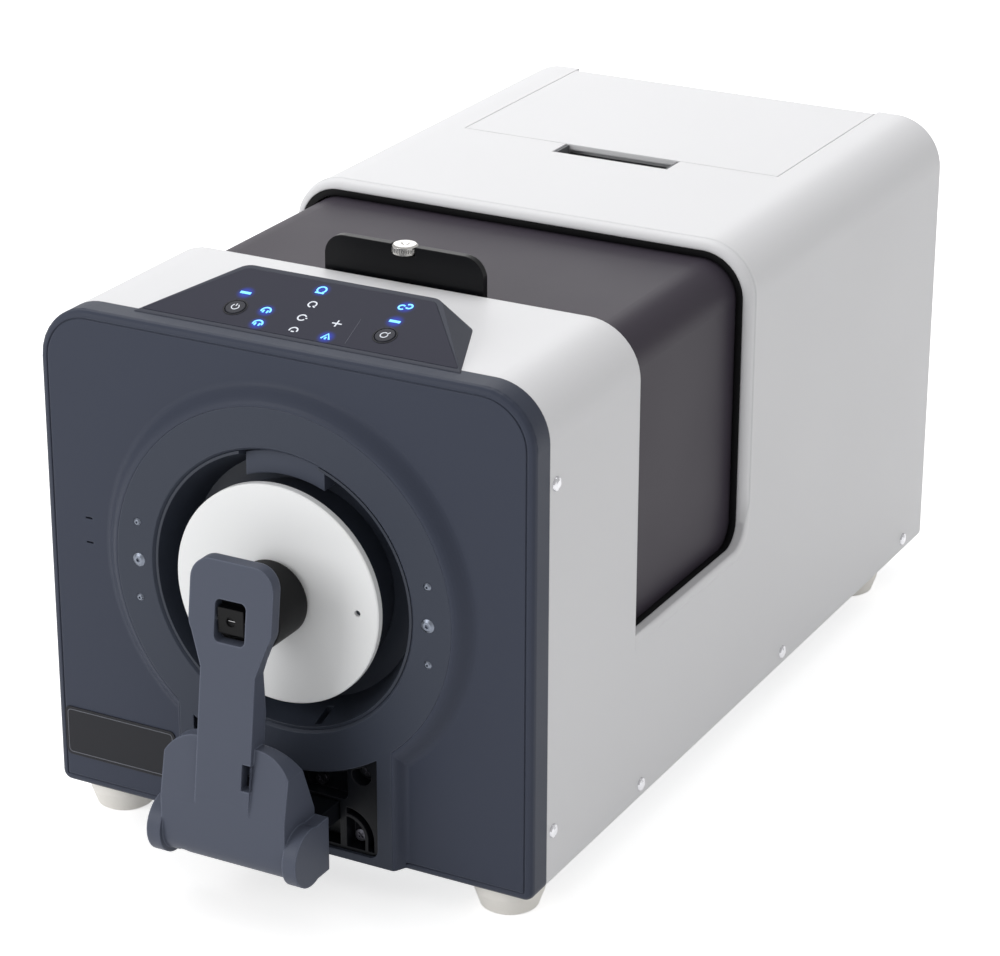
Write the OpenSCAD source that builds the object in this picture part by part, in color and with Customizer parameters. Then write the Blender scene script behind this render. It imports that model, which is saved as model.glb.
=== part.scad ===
// Benchtop colorimeter with an integrating sphere, a clip-on target mask,
// a sprung specimen holder and a saddle-shaped transmission chamber.
// The model stands on its feet at z = 0, centred on its bounding box,
// with the measuring port facing -Y.

/* [Case] */
// Width of the case
case_w = 271; // [240:1:300]
// Height of the case without its feet
case_h = 258; // [250:1:280]
// Depth of the case from fascia to rear edge
case_d = 500; // [480:1:540]
// Radius of the two upper long edges
case_r = 28; // [22:1:34]
// Radius of the two lower long edges
case_base_r = 5; // [2:0.5:8]
// Thickness of the moulded cover
cover_wall = 7; // [5:0.5:8]
// Depth that the rear panel sits inside the cover
rear_inset = 5; // [3:0.5:10]
// Thickness of the sheet metal panels
sheet_t = 3; // [2:0.5:4]
// Height of the upturned edges of the base
flange_h = 20; // [16:1:30]

/* [Feet] */
// Height of a foot
foot_h = 16; // [12:1:24]
// Radius of a foot where it meets the base
foot_top_r = 18; // [14:0.5:22]
// Radius of a foot on the bench
foot_low_r = 13; // [10:0.5:16]
// Distance of a foot's middle from the side of the case
foot_inset = 23.5; // [22:0.5:40]
// Distance of the front feet's middle from the fascia
foot_front_y = 22; // [20:1:60]
// Distance of the rear feet's middle from the rear edge
foot_back = 55; // [30:1:90]

/* [Fascia] */
// Depth of the grey front band
band_d = 15; // [12:1:24]
// Thickness of the front face
face_t = 4; // [3:0.5:6]
// Rounding of the front edge
edge_r = 3; // [2:0.5:5]
// Width of the groove around the face
groove_w = 0.8; // [0.5:0.1:1.5]
// Depth of that groove
groove_d = 0.6; // [0.3:0.1:1.5]
// Height of the bare name plate
plate_h = 27; // [20:1:32]
// Distance of the name plate from the side of the case
plate_inset = 4.5; // [3:0.5:12]
// Distance of the name plate from the tongue's flare
plate_gap = 2.3; // [1:0.1:10]

/* [Measuring port] */
// Sideways place of the optical axis
axis_x = 3; // [-5:0.5:8]
// Height of the optical axis
axis_z = 153; // [148:0.5:160]
// Distance that the port ring stands out of the fascia
ring_rise = 7; // [4:0.5:10]
// Outer radius of the flat port ring
ring_r = 93; // [88:0.5:96]
// Width of the flared skirt around the ring
skirt_w = 11; // [6:0.5:14]
// Radius of the mask well
well_r = 71.5; // [68:0.5:75]
// Depth of the mask well behind the fascia
well_d = 15; // [12:0.5:20]
// Radius of the target mask
mask_r = 56; // [54:0.5:57]
// Thickness of the target mask
mask_t = 2; // [1.5:0.1:3]
// Bevel at the inner edge of the port ring
ring_bevel = 1.5; // [0.5:0.1:2.5]
// Distance of the mask face in front of the fascia
mask_y = 10.5; // [9:0.5:14]
// Radius of the measuring aperture
aperture_r = 12.7; // [8:0.1:16]
// Half width of the tongue below the ring
tongue_w = 60; // [52:1:66]
// Width of the flared skirt beside the tongue
tongue_skirt_w = 5.6; // [3:0.2:8]
// Width of the mask latch
latch_w = 43; // [30:1:48]
// Travel of the mask latch
latch_travel = 2; // [1:0.1:2.2]

/* [Specimen holder] */
// Distance of the hinge axis in front of the fascia
hinge_y = 51; // [48:0.5:56]
// Height of the hinge axis
hinge_z = 42; // [40:0.5:48]
// Radius of the hinge pin
hinge_pin_r = 3; // [2.5:0.1:4]
// Radius of the cheeks at the hinge
cheek_r = 15; // [13:0.5:17]
// Thickness of a cheek
cheek_t = 7.4; // [6:0.2:10]
// Distance of the arm's face in front of the hinge axis
arm_face = 12.5; // [11:0.5:14]
// Thickness of the arm's skin at its base
arm_skin = 4.5; // [3:0.5:4.5]
// Width of the arm's base
arm_base_w = 69; // [66:0.2:72]
// Top of the arm's shoulders above the bench
arm_base_top = 95; // [92:1:100]
// Width of the arm's shank
shank_w = 30; // [26:0.2:34]
// Width of the arm's head
head_w = 45.4; // [40:0.2:50]
// Top of the arm above the bench
arm_top = 184; // [180:1:190]
// Radius of the specimen pad
pad_r = 19.3; // [16:0.1:24]
// Gap between pad and mask
pad_gap = 1.3; // [1:0.1:3]

/* [Console] */
// Sideways place of the console
console_x = 2; // [-4:0.5:6]
// Distance of the console's front edge from the fascia
console_y = 11; // [8:0.5:14]
// Depth of the console's tilted face
console_d = 49; // [44:1:54]
// Half width of the console at the front
console_front = 89; // [80:1:92]
// Half width of the tilted face at the rear
console_back = 57.5; // [50:0.5:64]
// Half width of the console's foot at the rear
console_foot = 68; // [60:1:74]
// Distance of the console's rear foot from its front edge
console_foot_d = 58; // [54:1:64]
// Tilt of the console's face
console_tilt = 18.5; // [12:0.5:24]
// Radius of a key
key_r = 5; // [4:0.1:7]
// Travel of a key
key_travel = 0.8; // [0.4:0.1:1.2]

/* [Transmission chamber] */
// Front edge of the saddle-shaped opening
saddle_y = 108.5; // [104:0.5:114]
// Bottom of the saddle-shaped opening
saddle_z = 112; // [104:1:124]
// Front edge of the rear housing
mouth_y = 237; // [228:1:244]
// Depth of the rounded lip at that edge
lip_d = 8; // [5:0.5:12]
// Drop of the rounded lip at that edge
lip_drop = 5; // [3:0.5:6]
// Rounding of the saddle's rear corner
saddle_r = 13; // [8:0.5:18]
// Inset of the sliding cover from the case surface
slide_inset = 9; // [8.5:0.1:10]
// Thickness of the sliding cover
slide_t = 3; // [2:0.5:4]
// Front edge of the sliding cover
slide_y = 120; // [119:0.5:122]
// Overlap of the sliding cover with the rear housing
slide_lap = 9; // [6:1:14]
// Travel of the sliding cover
slide_travel = 90; // [60:1:92]
// Lower edge of the sliding cover
slide_low = 100; // [96:0.5:101]

/* [Specimen plate] */
// Width of the plate behind the front block
stop_w = 89.4; // [80:0.2:96]
// Thickness of that plate
stop_t = 4; // [4:0.5:6]
// Height of the plate above the case
stop_rise = 18; // [14:0.5:22]
// Radius of the plate's upper corners
stop_r = 11; // [8:0.5:14]
// Radius of the thumb screw
knob_r = 6.5; // [6:0.5:8]
// Height of the thumb screw's head
knob_h = 5; // [4:0.5:8]

/* [Storage lid] */
// Front seam of the storage lid
lid_y = 357.5; // [355:0.5:365]
// Distance of the lid from the rear edge of the case
lid_back = 2; // [1:0.5:6]
// Distance of the lid from each side of the case
lid_margin = 39.5; // [36:0.5:50]
// Gap around the lid
lid_gap = 0.3; // [0.2:0.1:1]
// Depth of the storage tray
tray_d = 48; // [30:1:70]
// Width of the finger recess
finger_w = 70; // [50:1:90]
// Length of the finger recess
finger_d = 17; // [12:0.5:17]
// Depth of the finger recess below the case top
finger_deep = 14; // [10:0.5:18]

/* [Clearances] */
// Running clearance around a sliding or turning piece
run_gap = 0.3; // [0.25:0.05:0.4]
// Radial clearance of a pin in its bore
pin_gap = 0.06; // [0.03:0.01:0.1]
// Radial clearance of a fixed round piece in its seat
seat_gap = 0.1; // [0.05:0.05:0.3]

/* [Hidden] */
$fn = 64;

half_w = case_w / 2;
case_top = foot_h + case_h;
inner_half = half_w - cover_wall;
inner_top = case_top - cover_wall;
arm_reach = hinge_y + cheek_r;
centre_y = (case_d - arm_reach) / 2;
eps = 0.01;
cut = 1;
wall_t = 4;

// Extrude a shape drawn in x and z along the case from y0 for a length
module along_y(y0, length) {
    translate([0, y0 + length, 0])
        rotate([90, 0, 0])
            linear_extrude(length)
                children();
}

// Extrude a shape drawn in y and z across the case, centred on x
module across_x(x, width) {
    translate([x, 0, 0])
        rotate([90, 0, 90])
            linear_extrude(width, center = true)
                children();
}

// Revolve a profile of radius and y around a line along y
module about_y(x, z) {
    translate([x, 0, z])
        rotate([-90, 0, 0])
            rotate_extrude()
                children();
}

// Cylinder along y
module rod_y(x, y0, z, r, length) {
    translate([x, y0, z])
        rotate([-90, 0, 0])
            cylinder(r = r, h = length);
}

// Cylinder along x, centred on x
module rod_x(x, y, z, r, length) {
    translate([x, y, z])
        rotate([0, 90, 0])
            cylinder(r = r, h = length, center = true);
}

// Move from the fascia's frame to the frame of the whole instrument
module place() {
    translate([0, -centre_y, 0])
        children();
}

// Rectangle with separate corner radii above and below, standing on y = 0
module arch(w, h, r_top, r_low) {
    translate([-w / 2, r_low])
        square([w, h - r_top - r_low]);
    translate([-w / 2 + r_low, 0])
        square([w - 2 * r_low, r_low + eps]);
    translate([-w / 2 + r_top, h - r_top - eps])
        square([w - 2 * r_top, r_top + eps]);
    for (side = [-1, 1]) {
        translate([side * (w / 2 - r_top), h - r_top])
            circle(r_top);
        translate([side * (w / 2 - r_low), r_low])
            circle(r_low);
    }
}

// Rounded rectangle centred on the origin
module round_rect(w, h, r) {
    translate([0, -h / 2])
        arch(w, h, r, r);
}

// Outline of the case, moved inwards by a distance
module case_outline(inset = 0) {
    translate([0, foot_h + inset])
        arch(
            case_w - 2 * inset,
            case_h - 2 * inset,
            case_r - inset,
            max(case_base_r - inset, 0.5)
        );
}

// Same outline with open bottom, for the hollow inside the cover
module case_hollow(inset) {
    w = case_w - 2 * inset;
    translate([0, foot_h - cut])
        arch(w, case_h - inset + cut, case_r - inset, 0.5);
}

// The same room from a height upwards, for the panels that close it
module inner_outline(low) {
    intersection() {
        case_hollow(cover_wall);
        translate([-case_w, low])
            square([2 * case_w, case_h]);
    }
}

// Side screws: three low ones a side through the base, two at the front band
screw_head_r = 3.6;
screw_head_h = 1.6;
screw_shank_r = 1.8;
screw_low_z = foot_h + flange_h / 2;
screw_ahead = 103;
screw_front_y = band_d + screw_ahead;
screw_back = 29;
screw_pitch = (case_d - screw_back - screw_front_y) / 2;
band_screw_y = band_d + 6.4;
band_screw_z = [foot_h + 29.4, case_top - 49.2];
side_screw_points = concat(
    [for (i = [0:2]) [screw_front_y + i * screw_pitch, screw_low_z, cover_wall + sheet_t]],
    [for (z = band_screw_z) [band_screw_y, z, cover_wall]]
);

// Saddle opening seen from the side, with its rounded rear corner
module saddle_outline() {
    rear = mouth_y + lip_d;
    difference() {
        translate([saddle_y, saddle_z])
            square([rear - saddle_y, case_h]);
        translate([mouth_y - saddle_r, saddle_z])
            difference() {
                square([saddle_r + lip_d, saddle_r]);
                translate([0, saddle_r])
                    circle(saddle_r);
            }
    }
}

// Rounded lip at the front edge of the rear housing
lip_steps = 4;
module lip_slice(a) {
    drop = lip_drop * (1 - cos(a));
    y = mouth_y + lip_d * (1 - sin(a));
    along_y(y, eps)
        case_outline(drop, $fn = 32);
}

module mouth_lip() {
    difference() {
        intersection() {
            for (i = [0:lip_steps - 1])
                hull() {
                    lip_slice(90 * i / lip_steps);
                    lip_slice(90 * (i + 1) / lip_steps);
                }
            translate([-case_w, mouth_y, saddle_z + eps])
                cube([2 * case_w, lip_d + eps, case_h]);
        }
        along_y(mouth_y - cut, lip_d + 2 * cut)
            case_hollow(cover_wall);
    }
}

module outer_cover() {
    color("whitesmoke")
        place() {
            difference() {
                along_y(band_d, case_d - band_d)
                    difference() {
                        case_outline();
                        case_hollow(cover_wall);
                    }
                across_x(0, 2 * case_w)
                    saddle_outline();
                // storage lid opening
                translate([-lid_w / 2 - lid_gap, lid_y - lid_gap, inner_top - cut])
                    cube([lid_w + 2 * lid_gap, case_d, case_h]);
                // finger recess opening
                translate([axis_x - finger_w / 2, lid_y - finger_d, inner_top - cut])
                    cube([finger_w, finger_d, case_h]);
                for (p = side_screw_points)
                    rod_x(0, p[0], p[1], screw_shank_r + seat_gap, 2 * case_w);
                lid_pin_holes(lid_pin_r + seat_gap);
            }
            mouth_lip();
        }
}

// Front moulding
rim_t = 5;
bay_w = 104;
bay_low = foot_h + 6;
bay_top = axis_z - well_r - seat_gap - 1.5;
bay_depth = face_t + 4;
bay_wall = 2;
sensor_x = 22.5 - half_w;
plate_w = axis_x - tongue_w - seat_gap - tongue_skirt_w - plate_gap - plate_inset + half_w;
skirt_steps = 8;

// Side view of the flare between ring and fascia, as width and height points
function flare(width) = [
    for (i = [0:skirt_steps])
        [width * i / skirt_steps, -ring_rise * (1 + cos(180 * i / skirt_steps)) / 2]
];

tongue_low = foot_h + 2;

// Opening below the ring, which bounds it above
module bay_outline(extra = 0) {
    difference() {
        translate([axis_x, (bay_low + bay_top) / 2])
            round_rect(bay_w + 2 * extra, bay_top - bay_low + 2 * extra, 5);
        translate([axis_x, axis_z])
            circle(ring_r - extra);
    }
}

module skirt() {
    about_y(axis_x, axis_z)
        polygon(concat(
            [[ring_r + seat_gap, eps]],
            [for (p = flare(skirt_w)) [ring_r + seat_gap + p[0], p[1]]]
        ));
    for (side = [-1, 1])
        translate([axis_x, 0, tongue_low])
            linear_extrude(axis_z - tongue_low - ring_r * 0.75)
                polygon(concat(
                    [[side * (tongue_w + seat_gap), eps]],
                    [for (p = flare(tongue_skirt_w))
                        [side * (tongue_w + seat_gap + p[0]), p[1]]]
                ));
}

module front_edge() {
    steps = 3;
    for (i = [0:steps - 1])
        hull() {
            for (a = [90 * i / steps, 90 * (i + 1) / steps])
                along_y(edge_r * (1 - sin(a)), eps)
                    case_outline(edge_r * (1 - cos(a)), $fn = 32);
        }
}

module port_outline() {
    translate([axis_x, axis_z])
        circle(ring_r);
    translate([axis_x - tongue_w, tongue_low])
        square([2 * tongue_w, axis_z - tongue_low]);
}

module front_fascia() {
    color("slategray")
        place()
            difference() {
                union() {
                    along_y(edge_r - eps, band_d - edge_r + eps)
                        case_outline();
                    front_edge();
                    difference() {
                        skirt();
                        // the ring and its tongue stay clear of the flares
                        along_y(-ring_rise - cut, ring_rise + cut)
                            port_outline();
                    }
                }
                along_y(face_t, band_d)
                    case_outline(rim_t);
                // groove around the face
                along_y(-cut, groove_d + cut)
                    difference() {
                        case_outline(edge_r + groove_w);
                        case_outline(edge_r + 2 * groove_w);
                    }
                rod_y(axis_x, -ring_rise - cut, axis_z, well_r + seat_gap, band_d + ring_rise);
                along_y(-cut, band_d)
                    bay_outline(seat_gap);
                // two small sensor slots
                for (z = [axis_z - 1, axis_z + 12])
                    translate([sensor_x, -cut, z])
                        cube([4, face_t, 1]);
            }
}

foot_points = [
    for (side = [-1, 1], y = [foot_front_y, case_d - foot_back])
        [side * (half_w - foot_inset), y, 0]
];

module base_plate() {
    length = case_d - rear_inset - sheet_t - band_d;
    color("dimgray")
        place()
            difference() {
                union() {
                    translate([-inner_half, band_d, foot_h])
                        cube([2 * inner_half, length, sheet_t]);
                    for (side = [-1, 1])
                        translate([side * (inner_half - sheet_t / 2) - sheet_t / 2, band_d, foot_h])
                            cube([sheet_t, length, flange_h]);
                }
                for (p = side_screw_points)
                    rod_x(0, p[0], p[1], screw_shank_r + seat_gap, 2 * case_w);
                for (p = foot_points)
                    translate(p)
                        cylinder(r = foot_screw_r + seat_gap, h = foot_h + 2 * sheet_t);
            }
}

// Rear panel and its sockets
rear_y = case_d - rear_inset - sheet_t;
inlet_x = 57.5 - half_w;
inlet_z = foot_h + 44;
inlet_w = 28;
inlet_h = 21;
switch_x = inlet_x + 44;
switch_w = 21;
switch_h = 15;
usb_x = 40;
usb_w = 12;
usb_h = 11;
vent_x = 62;
vent_z = axis_z + 22;
vent_count = 8;
vent_pitch = 8;
vent_len = 56;

module rear_panel() {
    color("gainsboro")
        place()
            difference() {
                along_y(rear_y, sheet_t)
                    difference() {
                        inner_outline(foot_h);
                        translate([inlet_x, inlet_z])
                            square([inlet_w + 2 * seat_gap, inlet_h + 2 * seat_gap], center = true);
                        translate([switch_x, inlet_z])
                            square([switch_w + 2 * seat_gap, switch_h + 2 * seat_gap], center = true);
                        translate([usb_x, inlet_z])
                            square([usb_w + 2 * seat_gap, usb_h + 2 * seat_gap], center = true);
                        // louvres over the fan
                        for (i = [0:vent_count - 1])
                            translate([vent_x, vent_z + (i - (vent_count - 1) / 2) * vent_pitch])
                                square([vent_len, vent_pitch / 2], center = true);
                    }
            }
}

// Screws of the port ring: a large one between two small ones on each side
ring_screw_x = 80.5;
ring_screw_step = 20;
ring_screw_r = 3.5;
ring_pin_r = 2;
ring_screw_deep = 4;
ring_screw_points = [
    for (side = [-1, 1], row = [-1, 0, 1])
        [
            axis_x + side * ring_screw_x,
            axis_z + row * ring_screw_step,
            row == 0 ? ring_screw_r : ring_pin_r
        ]
];

module port_plate() {
    color("slategray")
        place()
            difference() {
                along_y(-ring_rise, ring_rise)
                    difference() {
                        port_outline();
                        translate([axis_x, axis_z])
                            circle(well_r);
                        bay_outline();
                    }
                // bevel that catches the light at the inner edge
                about_y(axis_x, axis_z)
                    polygon([
                        [0, -ring_rise - cut],
                        [well_r + ring_bevel + cut, -ring_rise - cut],
                        [well_r, ring_bevel - ring_rise],
                        [0, ring_bevel - ring_rise]
                    ]);
                for (p = ring_screw_points)
                    rod_y(p[0], -ring_rise - cut, p[1], p[2] + seat_gap, ring_screw_deep + cut);
            }
}

module ring_screws() {
    color("silver")
        place()
            for (p = ring_screw_points)
                difference() {
                    about_y(p[0], p[1])
                        polygon([
                            [0, ring_screw_deep - ring_rise],
                            [p[2], ring_screw_deep - ring_rise],
                            [p[2], -ring_rise],
                            [p[2] * 0.6, -ring_rise - 0.8],
                            [0, -ring_rise - 1]
                        ]);
                    rod_y(p[0], -ring_rise - 2, p[1], p[2] * 0.3, 2);
                }
}

// Mask well, seat and mask
seat_r = 50;
seat_bore = 42;
sphere_r = 49;
sphere_t = 4;
sphere_y = saddle_y - wall_t - 2 - sphere_r;
seat_end = sphere_y - sqrt(pow(sphere_r, 2) - pow(seat_bore, 2)) - run_gap;
well_floor = 3;
well_lip = 1;
mask_hole_x = 44.6;
mask_hole_r = 1.6;

module mask_well() {
    color("darkslategray")
        place()
            difference() {
                about_y(axis_x, axis_z)
                    polygon([
                        [well_r - seat_gap, well_lip - ring_rise],
                        [well_r - 1.5, well_lip - ring_rise],
                        [well_r - 9, well_d],
                        [seat_r + seat_gap, well_d],
                        [seat_r + seat_gap, well_d + well_floor],
                        [well_r - seat_gap, well_d + well_floor]
                    ]);
                // keyway in the lower wall
                translate([axis_x + 16, -4, axis_z - well_r + 3])
                    cube([4, 12, 9]);
                // guide of the latch
                translate([axis_x - latch_w / 2 - run_gap, -ring_rise, axis_z + mask_r])
                    cube([latch_w + 2 * run_gap, well_d + ring_rise, well_r]);
            }
}

module mask_seat() {
    color("dimgray")
        place()
            about_y(axis_x, axis_z)
                polygon([
                    [seat_bore, mask_t - mask_y],
                    [seat_r - 2, mask_t - mask_y],
                    [seat_r, mask_t - mask_y + 2],
                    [seat_r, seat_end],
                    [seat_bore, seat_end]
                ]);
}

module target_mask() {
    color("white")
        place()
            difference() {
                about_y(axis_x, axis_z)
                    polygon([
                        [aperture_r, -mask_y],
                        [mask_r - 0.6, -mask_y],
                        [mask_r, 0.6 - mask_y],
                        [mask_r, mask_t + 2 - mask_y],
                        [seat_r + 1, mask_t + 2 - mask_y],
                        [seat_r + 1, mask_t - mask_y],
                        [aperture_r + 4, mask_t - mask_y],
                        [aperture_r, 0.5 - mask_y]
                    ]);
                for (side = [-1, 1])
                    rod_y(
                        axis_x + side * mask_hole_x, -mask_y - cut, axis_z,
                        mask_hole_r, mask_t + 2 * cut
                    );
            }
}

latch_low_r = mask_r + 2;
latch_high_r = well_r - latch_travel - run_gap;

module mask_latch() {
    color("black")
        place()
            difference() {
                along_y(0, well_d - run_gap)
                    translate([axis_x, axis_z])
                        intersection() {
                            difference() {
                                circle(latch_high_r);
                                circle(latch_low_r);
                            }
                            translate([-latch_w / 2, latch_low_r * 0.5])
                                square([latch_w, well_r]);
                        }
                // bevelled thumb edge
                translate([axis_x - latch_w, 0, axis_z + latch_high_r - 3])
                    rotate([35, 0, 0])
                        translate([0, -10, 0])
                            cube([2 * latch_w, 10, 10]);
            }
}

// Bay behind the hinge: a black moulding with pockets and screws, and the
// bracket that carries the arm
bay_recess = 2;
bay_face_y = bay_recess - ring_rise;
pocket_y = bay_face_y + 8;
pocket_w = 27;
arm_side_t = 5;
arm_hollow_w = arm_base_w - 2 * arm_side_t;
stem_w = arm_hollow_w - 1;
stem_h = 10;
knuckle_r = arm_face - arm_skin - 1;
recess_top = hinge_z + stem_h / 2 + 1;
corner_x = stem_w / 2 + 4.5;
corner_r = bay_w / 2 - 3 - corner_x;
bay_screw_points = [[42.3, 64.5], [corner_x + 4.5, bay_low + 6.2], [16, 54]];
bay_screw_r = 3.2;
bay_pin_r = 1.5;

// Pocket with one large round corner, drawn from its lower inner corner
module corner_pocket(r) {
    square([r, 6]);
    translate([0, 6])
        intersection() {
            circle(r);
            square(r);
        }
}

// Pockets on one side of the middle, with the first two cut short by the ring
module bay_pockets() {
    difference() {
        union() {
            translate([21, recess_top + 11.2])
                round_rect(pocket_w, 20, 3);
            translate(bay_screw_points[0])
                circle(5.4);
        }
        translate([0, axis_z])
            circle(ring_r + 1.2);
    }
    // corner pocket with a curved rib in it
    translate([corner_x, bay_low + bay_wall])
        difference() {
            corner_pocket(corner_r);
            difference() {
                corner_pocket(corner_r - 3.5);
                corner_pocket(corner_r - 5.1);
            }
        }
}

module bay_tray() {
    color("black")
        place()
            difference() {
                along_y(bay_face_y, bay_depth - bay_face_y)
                    bay_outline(-seat_gap);
                // deep recess for the hinge bracket
                along_y(bay_face_y - cut, bay_depth - bay_wall - bay_face_y + cut)
                    translate([axis_x - stem_w / 2 - 1, bay_low + bay_wall])
                        square([stem_w + 2, recess_top - bay_low - bay_wall]);
                along_y(bay_face_y - cut, pocket_y - bay_face_y + cut)
                    for (side = [0, 1])
                        translate([axis_x, 0])
                            mirror([side, 0])
                                bay_pockets();
                for (side = [-1, 1], p = bay_screw_points)
                    rod_y(axis_x + side * p[0], 0, p[1], bay_pin_r + seat_gap, bay_depth + cut);
            }
}

module bay_screws() {
    color("dimgray")
        place()
            for (side = [-1, 1], p = bay_screw_points)
                translate([axis_x + side * p[0], 0, p[1]])
                    difference() {
                        union() {
                            rod_y(0, pocket_y - 2, 0, bay_screw_r, 2);
                            rod_y(0, pocket_y - 1, 0, bay_pin_r, bay_depth + 3 - pocket_y);
                        }
                        // cross slots in the head
                        translate([0, pocket_y - 2, 0])
                            for (turn = [45, 135])
                                rotate([0, turn, 0])
                                    cube([3.6, 2, 0.8], center = true);
                    }
}

module hinge_bracket() {
    back = bay_depth - bay_wall;
    flange_low = bay_low + bay_wall + 1;
    color("dimgray")
        place()
            difference() {
                union() {
                    rod_x(axis_x, -hinge_y, hinge_z, knuckle_r, stem_w);
                    translate([axis_x - stem_w / 2, -hinge_y, hinge_z - stem_h / 2])
                        cube([stem_w, hinge_y + back, stem_h]);
                    // flange on the floor of the recess
                    translate([axis_x - stem_w / 2, back - 3, flange_low])
                        cube([stem_w, 3, recess_top - 1 - flange_low]);
                }
                rod_x(axis_x, -hinge_y, hinge_z, hinge_pin_r + pin_gap, stem_w + cut);
            }
}

cheek_span = arm_base_w + 2 * cheek_t - 0.6;
hinge_pin_l = cheek_span - 6;

module hinge_pin() {
    color("silver")
        place()
            rod_x(axis_x, -hinge_y, hinge_z, hinge_pin_r, hinge_pin_l);
}

// Specimen holder arm: a hollow base with sloping shoulders and a barrel
// round the hinge, and a shank that leans back to the head
arm_face_y = -hinge_y - arm_face;
arm_lean = 0.135;
arm_knee_z = hinge_z + 25;
arm_hollow_top = arm_base_top - 15;
shoulder_low = arm_knee_z - 5;
shoulder_back = 7;
shoulder_r = 21;
side_back_y = -hinge_y + cheek_r;
head_mid_z = axis_z + 2;
head_h = 41;
head_t = 6.5;
shank_t = 12;
notch_x = 25;
notch_r = 4;
function arm_y(z) = arm_face_y + max(z - arm_knee_z, 0) * arm_lean;

// Side view of the base
module arm_base_side() {
    translate([-hinge_y, hinge_z])
        circle(arm_face);
    polygon([
        [arm_face_y, hinge_z],
        [arm_face_y, shoulder_low],
        [arm_face_y + shoulder_back, arm_base_top],
        [arm_face_y + shoulder_back + head_t, arm_base_top],
        [side_back_y - 8, arm_hollow_top],
        [side_back_y, arm_hollow_top - 20],
        [side_back_y, hinge_z - arm_face],
        [-hinge_y, hinge_z - arm_face]
    ]);
}

// Side view of the room inside the base, for the bracket's whole swing
module arm_hollow_side() {
    skin_y = arm_face_y + arm_skin;
    stem_y = -hinge_y - stem_h / 2 - 0.5;
    translate([-hinge_y, hinge_z])
        circle(knuckle_r + 1);
    polygon([
        [skin_y, hinge_z],
        [skin_y, shoulder_low],
        [skin_y + shoulder_back / 2, arm_hollow_top],
        [0, arm_hollow_top],
        [0, 0],
        [stem_y, 0],
        [stem_y, hinge_z]
    ]);
}

// Front view of the base, with round shoulders that meet the shank
module arm_base_front() {
    shoulder_x = shank_w / 2 + 1;
    intersection() {
        translate([-arm_base_w / 2, 0])
            square([arm_base_w, arm_base_top]);
        union() {
            translate([-arm_base_w / 2, 0])
                square([arm_base_w, arm_base_top - shoulder_r]);
            translate([-shoulder_x, 0])
                square([2 * shoulder_x, arm_base_top]);
            for (side = [-1, 1])
                translate([side * shoulder_x, arm_base_top - shoulder_r])
                    circle(shoulder_r);
        }
    }
}

// Side view of the shank and the head
module arm_shank_side() {
    polygon([
        [arm_face_y, shoulder_low],
        [arm_face_y, arm_knee_z],
        [arm_y(arm_top), arm_top],
        [arm_y(arm_top) + head_t, arm_top],
        [arm_y(axis_z - 15) + head_t, axis_z - 15],
        [arm_y(arm_base_top + 15) + shank_t, arm_base_top + 15],
        [arm_y(arm_base_top) + shank_t, arm_base_top],
        [arm_y(arm_base_top) + shank_t, arm_hollow_top],
        [arm_face_y + arm_skin, shoulder_low]
    ]);
}

// Front view of the shank and the head, with the neck between them
module arm_shank_front() {
    translate([0, arm_top - head_h / 2])
        round_rect(head_w, head_h, 11);
    translate([-shank_w / 2, 0])
        square([shank_w, arm_top - head_h / 2]);
    polygon([
        [-shank_w / 2, axis_z - 22],
        [shank_w / 2, axis_z - 22],
        [head_w / 2, axis_z],
        [-head_w / 2, axis_z]
    ]);
}

clip_w = 17;
clip_h = 21;
pad_pin_r = 1.2;
pad_pin_l = clip_w + 6;
pad_pivot_y = arm_y(head_mid_z) + head_t / 2;

module holder_arm() {
    color("dimgray")
        place()
            difference() {
                union() {
                    intersection() {
                        across_x(axis_x, arm_base_w)
                            arm_base_side();
                        along_y(-2 * arm_reach, 2 * arm_reach)
                            translate([axis_x, 0])
                                arm_base_front();
                    }
                    intersection() {
                        across_x(axis_x, head_w)
                            arm_shank_side();
                        along_y(-2 * arm_reach, 2 * arm_reach)
                            translate([axis_x, 0])
                                arm_shank_front();
                    }
                    // cheeks with flat backs
                    for (side = [-1, 1])
                        across_x(axis_x + side * (cheek_span - cheek_t) / 2, cheek_t) {
                            translate([-hinge_y, hinge_z])
                                circle(cheek_r);
                            translate([-hinge_y, hinge_z - cheek_r + 1])
                                square([cheek_r + 1, 2 * cheek_r - 2]);
                        }
                }
                across_x(axis_x, arm_hollow_w)
                    arm_hollow_side();
                rod_x(axis_x, -hinge_y, hinge_z, hinge_pin_r + pin_gap, hinge_pin_l + 2 * pin_gap);
                // window for the pad clip, and the bore of its pivot pin
                along_y(-arm_reach, arm_reach)
                    translate([axis_x, head_mid_z])
                        round_rect(clip_w, clip_h, 3);
                rod_x(axis_x, pad_pivot_y, head_mid_z, pad_pin_r + pin_gap, pad_pin_l + 2 * pin_gap);
                // slot at the foot of the shank
                along_y(-2 * arm_reach, 2 * arm_reach)
                    translate([axis_x + shank_w / 2 - 2.4, arm_base_top - 13.7])
                        round_rect(4.6, 13.2, 0.5);
                // notch in the bottom edge
                along_y(-2 * arm_reach, 2 * arm_reach)
                    translate([axis_x - notch_x, hinge_z - arm_face])
                        circle(notch_r);
            }
}

module pad_pivot_pin() {
    color("silver")
        place()
            rod_x(axis_x, pad_pivot_y, head_mid_z, pad_pin_r, pad_pin_l);
}

pad_face_y = -mask_y - pad_gap;
pad_back_y = arm_y(head_mid_z) + head_t + 3;

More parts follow.
